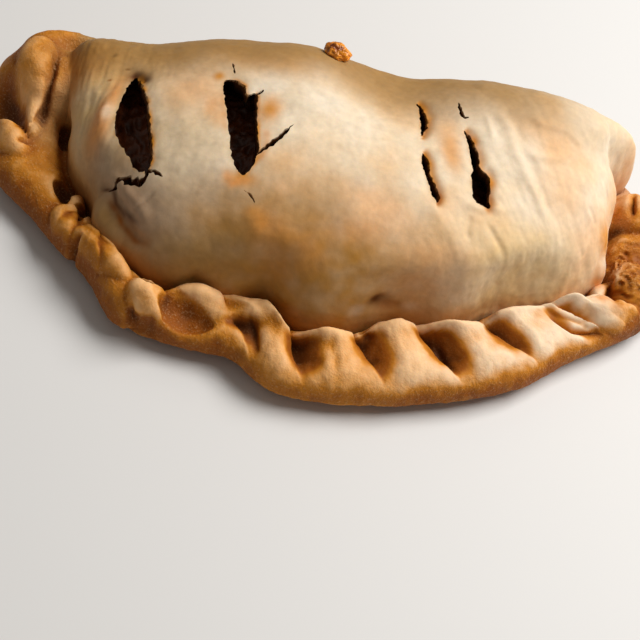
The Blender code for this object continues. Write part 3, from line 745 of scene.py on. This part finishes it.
def relief(points, domed):
    """Distance along the skin's normal that its wrinkles, cracks, pockets, lumps and grain add. Domed is 1
    on the dome and 0 on the rope."""
    x, y, z = points.T
    total = np.zeros(len(points))
    for width, height, *line in SOFT_RIDGES:
        total += height * near_line(points, line, width) * domed
    low = step(21, 15, z)
    for width, height, *line in GROOVES:
        total += height * near_line(points, line, width) * np.maximum(low, 1 - domed)
    for lump in LUMPS:
        total += mound(x, y, *lump) * low
    for *where, height, _, _ in MARKS:
        total += height * mark_share(points, *where)
    for pocket in POCKETS:
        total -= mound(x, y, *pocket) * step(15, 10, z)
    gap, side = slash_gap(points, outlines()[:len(SLASHES)])
    left, right, more = LIP_DROP
    drop = left + (right - left + more * step(-5, 20, x)) * side
    total -= drop * np.exp(-((gap / LIP_REACH) ** 2)) * domed
    return (total + grain_relief(points, domed)) * step(0.3, 3, z)


def headings(count):
    """Headings of the meridians, even along the outer edge and thinner along the back."""
    dense = np.linspace(90, 450, 2881)
    share = rope_share((dense[1:] + dense[:-1]) / 2)
    length = lengths(place(dense, outline(dense), 0), BACK_THINNING + (1 - BACK_THINNING) * share)
    return np.interp(np.arange(count) * length[-1] / count, length, dense)


def even_shares(count):
    """Shares from the crown to the belt that are even along the skin."""
    dense = np.linspace(0, 1, 4001)
    length = lengths(dome(np.full_like(dense, 300), dense))
    return np.interp(np.arange(1, count + 1) * length[-1] / count, length, dense)


def skin():
    """Rings of the fine skin from the crown down."""
    fine = headings(MERIDIANS)
    rings = []
    for share in even_shares(DOME_RINGS):
        halvings = 0
        while share * 2**halvings < HALVED and halvings < 4:
            halvings += 1
        rings.append(dome(fine[:: 2**halvings], share))
    return rings + [rope(fine, turn) for turn in np.linspace(*ROPE_TURN, ROPE_RINGS)]


# ---- meshes

def tuned(thing, **values):
    """Thing with its properties set, or, for a shader node, its inputs set or linked."""
    for name, value in values.items():
        entry = name.replace("_", " ")
        if hasattr(thing, name):
            setattr(thing, name, value)
        elif isinstance(value, bpy.types.NodeSocket):
            thing.id_data.links.new(value, thing.inputs[entry])
        else:
            thing.inputs[entry].default_value = value
    return thing


def placed(name, data):
    """New object in the scene."""
    thing = bpy.data.objects.new(name, data)
    bpy.context.scene.collection.objects.link(thing)
    return thing


def stitch(name, rings):
    """Closed mesh through rings from the top down. A ring may have twice as many points as the last."""
    starts = np.cumsum([1, *map(len, rings)])
    crown = rings[0].mean(axis=0) + (0, 0, CROWN_RISE)
    points = np.concatenate((crown[None], *rings, rings[-1].mean(axis=0)[None]))
    first, last = np.arange(1, starts[1]), np.arange(starts[-2], starts[-1])
    faces = [(0, a, b) for a, b in zip(first, np.roll(first, -1))]
    for upper, lower, end in zip(starts, starts[1:], starts[2:]):
        above, below = np.arange(upper, lower), np.arange(lower, end)
        near = below
        if len(below) > len(above):
            below, near = below[::2], below[1::2]
            faces += np.stack((above, below, near), axis=1).tolist()
        faces += np.stack((above, near, np.roll(below, -1), np.roll(above, -1)), axis=1).tolist()
    faces += [(a, starts[-1], b) for a, b in zip(last, np.roll(last, -1))]
    mesh = bpy.data.meshes.new(name)
    mesh.from_pydata([tuple(point) for point in points], [], faces)
    mesh.update()
    return placed(name, mesh)


def vectors(items, name, width=3):
    """Vectors that the vertices of a mesh hold."""
    flat = np.empty(len(items) * width, np.float32)
    items.foreach_get(name, flat)
    return flat.reshape(-1, width).astype(float)


def positions(thing):
    return vectors(thing.data.vertices, "co")


def set_positions(thing, points):
    thing.data.vertices.foreach_set("co", np.float32(points).ravel())
    thing.data.update()


def recolour_rims(thing, spots, colours):
    """Colour the vertices that the cuts made: those in the skin as it is there, the rest crumb darkened
    inward by painted shade.
    """
    near = np.nonzero(slash_gap(spots, outlines())[0] < 5)[0]
    tree = KDTree(len(near))
    for index, spot in zip(near.tolist(), spots[near].tolist()):
        tree.insert(spot, index)
    tree.balance()
    tone = thing.data.attributes["tone"].data
    rgba = vectors(tone, "color", 4)
    now = positions(thing)
    crumb, inside = linear(CRUMB), linear(INSIDE_SHADE)
    for index in np.nonzero((slash_gap(now, outlines())[0] < 3.5) & (now[:, 2] > SLASH_FOOT))[0].tolist():
        _, source, distance = tree.find(now[index].tolist())
        if distance > RIM_DEPTHS[0]:
            rgba[index, :3] = crumb + (inside - crumb) * min(1, distance / RIM_DEPTHS[1])
        elif distance > 1e-5:
            rgba[index, :3] = colours[source]
    rgba[:, 3] = 1
    tone.foreach_set("color", np.float32(rgba).ravel())


def settle(thing):
    """Move a piece from the plan's millimetres to the part's metres."""
    thing.data.transform(Matrix.Scale(MM, 4) @ Matrix.Translation((-BASE_MIDDLE[0], -BASE_MIDDLE[1], 0)))
    for face in thing.data.polygons:
        face.use_smooth = True
    return thing


def cut(target, cutter, colour, material):
    """Cut one closed mesh by another, which leaves its colour and its material on the cut."""
    paint(cutter, linear(colour), 0, material)
    tuned(target.modifiers.new("cut", "BOOLEAN"), operation="DIFFERENCE", object=cutter, solver="MANIFOLD",
          material_mode="TRANSFER")
    bpy.context.view_layer.update()
    graph = bpy.context.evaluated_depsgraph_get()
    made = bpy.data.meshes.new_from_object(target.evaluated_get(graph))
    target.modifiers.clear()
    target.data = made
    bpy.data.objects.remove(cutter)


def inner_body(name, meridians, count, inset, draft, level):
    """Closed body at an inset inside the dome, drawn in by a share at its foot on a level."""
    heading = headings(meridians)
    rings = [dome(heading, np.sin(0.5 * np.pi * i / count), inset) for i in range(1, count + 1)]
    foot = np.array(MIDDLE) + (rings[-1][:, :2] - MIDDLE) * draft
    return stitch(name, [*rings, np.column_stack((foot, np.full(meridians, level)))])


def outward(ring):
    """Soft outward directions along a ring that runs anticlockwise."""
    along = np.roll(ring, -2, axis=0) - np.roll(ring, 2, axis=0)
    out = np.stack((along[:, 1], -along[:, 0]), axis=1)
    return out / (np.linalg.norm(out, axis=1)[:, None] + 1e-9)


def slash_cutter(name, line, reach):
    """Cutter for a slash: upright at the skin, then reaching under its left lip, with torn walls."""
    edge = line[::-1]
    out = outward(edge)
    left, right = step(0.3, -0.3, out[:, 0]), step(-0.3, 0.3, out[:, 0])
    top = skin_height(edge[:, 0], edge[:, 1])
    rings = []
    for depth, under, close in SLASH_LEVELS:
        spot = np.column_stack((edge, top - max(0, depth)))
        torn = RAGGED * noise(spot, 1.5, 41) + 0.5 * RAGGED * noise(spot, 0.7, 42)
        move = reach * (under * left - close * right) + torn * min(1, reach + 0.3)
        rings.append(np.column_stack((edge + out * move[:, None], top - depth)))
    return stitch(name, rings)


# ---- colour

def linear(colour):
    """Light that a colour as the eye sees it stands for."""
    value = np.array(colour, float) / 255
    return np.where(value <= 0.04045, value / 12.92, ((value + 0.055) / 1.055) ** 2.4)


def mixed(colours, *layers):
    """Colours with layers of (another colour, its share) mixed in one after the other."""
    for other, share in layers:
        colours = colours + (linear(other) - colours) * np.clip(share, 0, 1)[:, None]
    return colours


def fading(spot, ranges):
    """Product of the smooth steps over ranges of (which number of a spot, its value at 0, at 1)."""
    total = 1
    for pick, low, high in ranges:
        total = total * step(low, high, spot[pick])
    return total


def cavity(rings, spots):
    """How far each place lies in a hollow, negative on a crest, in millimetres. 0 near the crown."""
    full = sum(len(ring) == MERIDIANS for ring in rings)
    start = len(spots) - 1 - full * MERIDIANS
    block = soft = spots[start:-1].reshape(full, MERIDIANS, 3)
    for _ in range(SOFTENINGS):
        soft = 0.5 * soft + 0.25 * (np.roll(soft, 1, axis=1) + np.roll(soft, -1, axis=1))
        padded = np.concatenate((soft[:1], soft, soft[-1:]))
        soft = 0.5 * soft + 0.25 * (padded[2:] + padded[:-2])
    along = np.roll(block, -1, axis=1) - np.roll(block, 1, axis=1)
    down = np.gradient(block, axis=0)
    out = np.cross(down, along)
    out /= np.linalg.norm(out, axis=-1)[..., None] + 1e-9
    total = np.zeros(len(spots))
    total[start:-1] = np.sum((soft - block) * out, axis=-1).ravel()
    return total


def dome_tone(spot, wide, patchy, mottle):
    """Colour of the dome."""
    wheaten = 0.35 + 0.45 * wide + 0.25 * patchy + 0.12 * mottle
    peachy = 0.45 * step(0.1, 0.8, 0.8 * wide + 0.4 * patchy)
    colours = mixed(linear(CREAM), (WHEAT, wheaten), (PEACH, peachy))
    for at_x, at_y, long, wide_by, heading, strength, colour in PATCHES:
        along, side = along_side(spot[X] - at_x, spot[Y] - at_y, heading)
        share = strength * hump(along, side, 0, 0, long, wide_by, 1.2)
        colours = mixed(colours, (colour, share * (1 + 0.12 * mottle + 0.22 * patchy)))
    for colour, strength, *ranges in DOME_LAYERS:
        colours = mixed(colours, (colour, strength * fading(spot, ranges)))
    return colours


def rope_tone(spot, patchy, mottle, hollow):
    """Colour of the rope and how browned it is, partly painted shade: darker to the left, low down and in
    the hollows, paler on the crests.
    """
    # browner to the left and in the hollows, paler on the crests: partly browning, partly painted shade
    left = step(35, -70, spot[X])
    toast_and_shade = 0.3 + 0.45 * left + 0.22 * patchy + 0.12 * mottle + 0.6 * np.clip(hollow, -0.9, 0.7)
    for amount, *ranges in ROPE_TOAST_AND_SHADE:
        toast_and_shade += amount * fading(spot, ranges)
    pale = 0.75 * fading(spot, ((X, 10, 80), (X, 100, 72)))
    layers = (CREAM, pale), (GOLD, toast_and_shade * 1.6), (TOAST, (toast_and_shade - 0.45) * 1.5), (BROWN, toast_and_shade - 1.2)
    return mixed(linear(CREST), *layers), toast_and_shade


def lip_tone(colours, points, domed, patchy, mottle):
    """Colours with the slashes' lips browned, more on their right sides and towards the right end."""
    gap, side = slash_gap(points, outlines()[:len(SLASHES)])
    browned = step(-5, 20, points[:, 0])
    lip = np.exp(-((gap / (0.4 + (0.3 + 0.7 * browned) * side)) ** 2)) * domed
    toasted = lip**2 * side * (0.1 + 0.4 * browned + 0.7 * patchy)
    return mixed(colours, (GOLD, lip * (0.15 + 0.6 * side + 0.6 * mottle)), (TOAST, toasted))


def dough_colour(points, domed, hollow, sunk):
    """Colour and browning of the skin, with painted shade in its creases, its hollows and on its low front.
    """
    x, y, z = points.T
    wide, patchy = noise(points, 22, 31), noise(points, 8, 32)
    mottle, fine = noise(points, 3.2, 33), noise(points, 1.3, 34)
    spot = (x, y, z, sunk, y + 5 * wide)
    plain = 1 - rope_share(polar(x, y)[0])
    foot = (TOAST, plain * step(19, 5, z + 2 * patchy) * 0.75)
    dome_colour = mixed(dome_tone(spot, wide, patchy, mottle), foot)
    rope_colour, toast_and_shade = rope_tone(spot, patchy, mottle, hollow)
    corner = step(-4, 6, y) * step(-58, -66, x)
    share = domed * (1 - corner) + step(-93, -79, x + 5 * patchy) * step(4, 16, z) * corner
    share = np.maximum(share, plain * step(0.5, 8, z + 1.5 * mottle))[:, None]
    colours = dome_colour * share + rope_colour * (1 - share)
    # darker still deep in the rope's hollows: painted shade over some browning
    colours = mixed(colours, (BROWN, step(0.35, 1.4, hollow) * 0.7))
    broken = 1 + 0.5 * mottle + 0.3 * patchy
    for *where, _, strength, colour in MARKS:
        colours = mixed(colours, (colour, strength * broken * mark_share(points, *where)))
    for line, width, strength, colour in CREASES:
        share = strength * (1 + 0.6 * mottle) * near_line(points, line, width)
        colours = mixed(colours, (colour, share))
    colours = lip_tone(colours, points, domed, patchy, mottle) * (1 + 0.05 * fine)[:, None]
    bake = (1 - domed) * (0.35 + 0.8 * toast_and_shade) * (1 - 0.85 * step(0.2, 1.6, sunk))
    return np.clip(colours, 0, 1), np.clip(bake, 0, 1)


def paint(thing, colours, bake, material):
    """Store colour and browning on a mesh and give it its material."""
    rgba = np.ones((len(thing.data.vertices), 4), np.float32)
    rgba[:, :3] = colours
    tone = thing.data.attributes.new("tone", "FLOAT_COLOR", "POINT")
    tone.data.foreach_set("color", rgba.ravel())
    baked = thing.data.attributes.new("bake", "FLOAT", "POINT")
    baked.data.foreach_set("value", (rgba[:, 3] * bake).astype(np.float32))
    thing.data.materials.append(material)


# ---- materials

def add(tree, kind, output=None, **values):
    """New shader node, or the named output of it."""
    made = tuned(tree.nodes.new("ShaderNode" + kind), **values)
    return made.outputs[output] if output else made


def new_material(name, **values):
    """(material, its tree, its shader), with the shader's inputs set."""
    made = bpy.data.materials.new(name)
    made.use_nodes = True
    return made, made.node_tree, tuned(made.node_tree.nodes["Principled BSDF"], **values)


def texture(tree, scale, detail, roughness):
    """Noise that is fixed to the piece."""
    where = add(tree, "TexCoord", "Object")
    return add(tree, "TexNoise", "Fac", Vector=where, Scale=scale, Detail=detail, Roughness=roughness)


def ramp(tree, source, *stops):
    """Grey between two (place, value) stops."""
    made = add(tree, "ValToRGB", Fac=source)
    for element, (at, value) in zip(made.color_ramp.elements, stops):
        element.position = at
        element.color = (value, value, value, 1)
    return made.outputs["Color"]


def mottled(tree, cloud, dark, light):
    """Stored colour, made darker and lighter by a texture."""
    tone = add(tree, "Attribute", "Color", attribute_name="tone")
    shades = ramp(tree, cloud, (0.3, dark), (0.7, light))
    return add(tree, "Mix", "Result", data_type="RGBA", blend_type="MULTIPLY", Factor=1, A=tone, B=shades)


def dough_material():
    """Baked dough: stored colour, fine mottling, grainy browning and a fine skin of pores."""
    made, tree, shader = new_material(
        "baked_dough", Specular_IOR_Level=0.22, Subsurface_Weight=0.1, Subsurface_Radius=(1, 0.5, 0.22),
        Subsurface_Scale=0.0025)
    bake = add(tree, "Attribute", "Fac", attribute_name="bake")
    cloud, grains, pores = (texture(tree, *kind) for kind in DOUGH_TEXTURES)
    speck = add(tree, "Math", operation="MULTIPLY")
    tree.links.new(ramp(tree, grains, (0.54, 0), (0.74, 0.32)), speck.inputs[0])
    tree.links.new(bake, speck.inputs[1])
    dusted = add(tree, "Mix", "Result", data_type="RGBA", blend_type="MIX",
                 Factor=speck.outputs["Value"], A=mottled(tree, cloud, 0.92, 1.06), B=DUST)
    fine = add(tree, "Bump", "Normal", Height=pores, Strength=0.16, Distance=0.0004)
    rough = add(tree, "Bump", "Normal", Height=grains, Strength=bake, Normal=fine, Distance=0.0004)
    tuned(shader, Base_Color=dusted, Roughness=ramp(tree, cloud, (0.3, 0.52), (0.7, 0.72)), Normal=rough)
    return made


def mottled_material(name, scale, shades, strength, distance, **values):
    """Stored colour with fine mottling between two shades, and bumps."""
    made, tree, shader = new_material(name, **values)
    cloud = texture(tree, scale, 4, 0.6)
    raised = add(tree, "Bump", "Normal", Height=cloud, Strength=strength, Distance=distance)
    tuned(shader, Base_Color=mottled(tree, cloud, *shades), Normal=raised)
    return made


def moist_material(name, roughness, scale):
    """Moist food: a soft gloss and a little light through it."""
    return mottled_material(
        name, scale, (0.7, 1.2), 0.4, 0.0003, Roughness=roughness, Subsurface_Weight=0.08,
        Subsurface_Radius=(1, 0.45, 0.15), Subsurface_Scale=0.002)


# ---- the pieces

def make_crust():
    """Crust, hollow inside and open at its slashes and tears."""
    rings = skin()
    crust = stitch("calzone_crust", rings)
    spots = positions(crust)
    domed = np.zeros(len(spots))
    domed[:1 + sum(map(len, rings[:DOME_RINGS]))] = 1
    spots += vectors(crust.data.vertex_normals, "vector") * relief(spots, domed)[:, None]
    spots[:, 2] = np.maximum(0, spots[:, 2])
    set_positions(crust, spots)
    turns = np.linspace(*ROPE_TURN, ROPE_RINGS)[:, None]
    sunk = np.zeros(len(spots))
    sunk[-1 - MERIDIANS * ROPE_RINGS:-1] = hollows(headings(MERIDIANS)[None], turns)[3].ravel()
    colours, bake = dough_colour(spots, domed, cavity(rings, spots), sunk)
    paint(crust, colours, bake, dough_material())
    crumb = mottled_material("torn_dough", 600, (0.55, 1.25), 0.6, 0.0006, Roughness=0.75,
                             Specular_IOR_Level=0.1)
    hollow = inner_body("hollow", INNER_MERIDIANS, INNER_RINGS, DOUGH, HOLLOW_DRAFT, DOUGH)
    # the inner walls take the near-black painted shade
    cut(crust, hollow, INSIDE_SHADE, crumb)
    for index, line in enumerate(outlines()):
        reach, colour = (1, CRUMB) if index < len(SLASHES) else (TEAR_REACH, INSIDE_SHADE)
        cut(crust, slash_cutter(f"slash_{index + 1}", line, reach), colour, crumb)
    recolour_rims(crust, spots, colours)
    settle(crust)
    crust.data.set_sharp_from_angle(angle=math.radians(55))
    return crust


def make_filling():
    """Minced filling that shows through the slashes."""
    floor = DOUGH + GAP
    filling = inner_body(
        "meat_filling", FILLING_MERIDIANS, FILLING_RINGS, DOUGH + 2 * GAP, FILLING_DRAFT, floor)
    spots = positions(filling)
    room = step(0, 0.5, (spots[:, 2] - DOME_BELT) / DOME_HEIGHT)
    lumps = 0.9 * noise(spots, 11, 51) + 0.8 * noise(spots, 5, 52)
    mince = 1 - 2 * np.abs(noise(spots, 3.4, 53)) + 0.5 * noise(spots, 1.4, 54)
    share = 1 - (1 - FILLING_SHARE) * room
    spots[:, 2] = floor + (spots[:, 2] - floor) * share + (lumps + 0.7 * mince) * room
    set_positions(filling, spots)
    colours = mixed(linear(MEAT), (SAUCE, 0.25 + 0.5 * noise(spots, 6, 55) + 0.3 * mince))
    paint(filling, colours, 0, moist_material("meat_filling", 0.42, 700))
    return settle(filling)


def make_cheese():
    """Cheese that burst out behind the crown and browned."""
    ball = bmesh.new()
    bmesh.ops.create_icosphere(ball, subdivisions=6, radius=1)
    mesh = bpy.data.meshes.new("burst_cheese")
    ball.to_mesh(mesh)
    ball.free()
    cheese = placed("burst_cheese", mesh)
    unit = positions(cheese)
    rough = 1 + 0.24 * noise(unit, 0.75, 61) + 0.16 * noise(unit, 0.34, 62) + 0.05 * noise(unit, 0.12, 63)
    top = float(skin_height(*np.array(CHEESE_SPOT)[:, None])[0]) + CHEESE_RISE
    set_positions(cheese, unit * rough[:, None] * CHEESE_SIZE + (*CHEESE_SPOT, top))
    # browned at random, with painted shade darkening its left side, away from the lamp
    browned = 0.25 + 1.1 * noise(unit, 0.6, 64) - 1.2 * (rough - 1) - 0.5 * unit[:, 0]
    paint(cheese, mixed(linear(MELTED), (BURNT, browned)), 0, moist_material("burst_cheese", 0.3, 900))
    return settle(cheese)


def make_stage():
    """Pale floor, soft window light from the right and behind, and a weak light all round."""
    bpy.ops.mesh.primitive_plane_add(size=4, location=(0, 0, -0.0002))
    floor = bpy.context.object
    floor.name = "floor"
    floor.data.materials.append(new_material("floor", Base_Color=(0.72, 0.72, 0.72, 1), Roughness=0.6)[0])
    world = bpy.data.worlds.new("room")
    bpy.context.scene.world = world
    world.use_nodes = True
    tuned(world.node_tree.nodes["Background"], Color=(1, 0.94, 0.86, 1), Strength=0.2)
    lamp = tuned(bpy.data.lights.new("window", "AREA"), shape="RECTANGLE", size=0.6, size_y=0.45,
                 energy=9, color=(1, 0.97, 0.93))
    turn = (-Vector(WINDOW)).to_track_quat("-Z", "Y").to_euler()
    tuned(placed("window", lamp), location=WINDOW, rotation_euler=turn)


def make_camera():
    """Camera at the photograph's angle."""
    data = tuned(bpy.data.cameras.new("camera"), sensor_width=36, lens=18 / math.tan(VIEW / 2),
                 clip_start=0.01)
    camera = placed("camera", data)
    distance = PICTURE / 2 / math.tan(VIEW / 2) / PIXELS_PER_MM * MM
    back = Vector((0, -math.cos(PITCH), math.sin(PITCH)))
    turn = (-back).to_track_quat("-Z", "Y").to_matrix() @ Matrix.Rotation(ROLL, 3, "Z")
    target = Vector((TARGET[0] - BASE_MIDDLE[0], TARGET[1] - BASE_MIDDLE[1], TARGET[2])) * MM
    camera.matrix_world = Matrix.Translation(target + back * distance) @ turn.to_4x4()
    bpy.context.scene.camera = camera
    bpy.context.scene.view_settings.view_transform = "Standard"


def main():
    make_camera()
    make_stage()
    crust = make_crust()
    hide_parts("crust")
    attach(crust, "root")
    filling = make_filling()
    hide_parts("filling")
    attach(filling, "root")
    cheese = make_cheese()
    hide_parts("browned_cheese")
    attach(cheese, "root")


main()
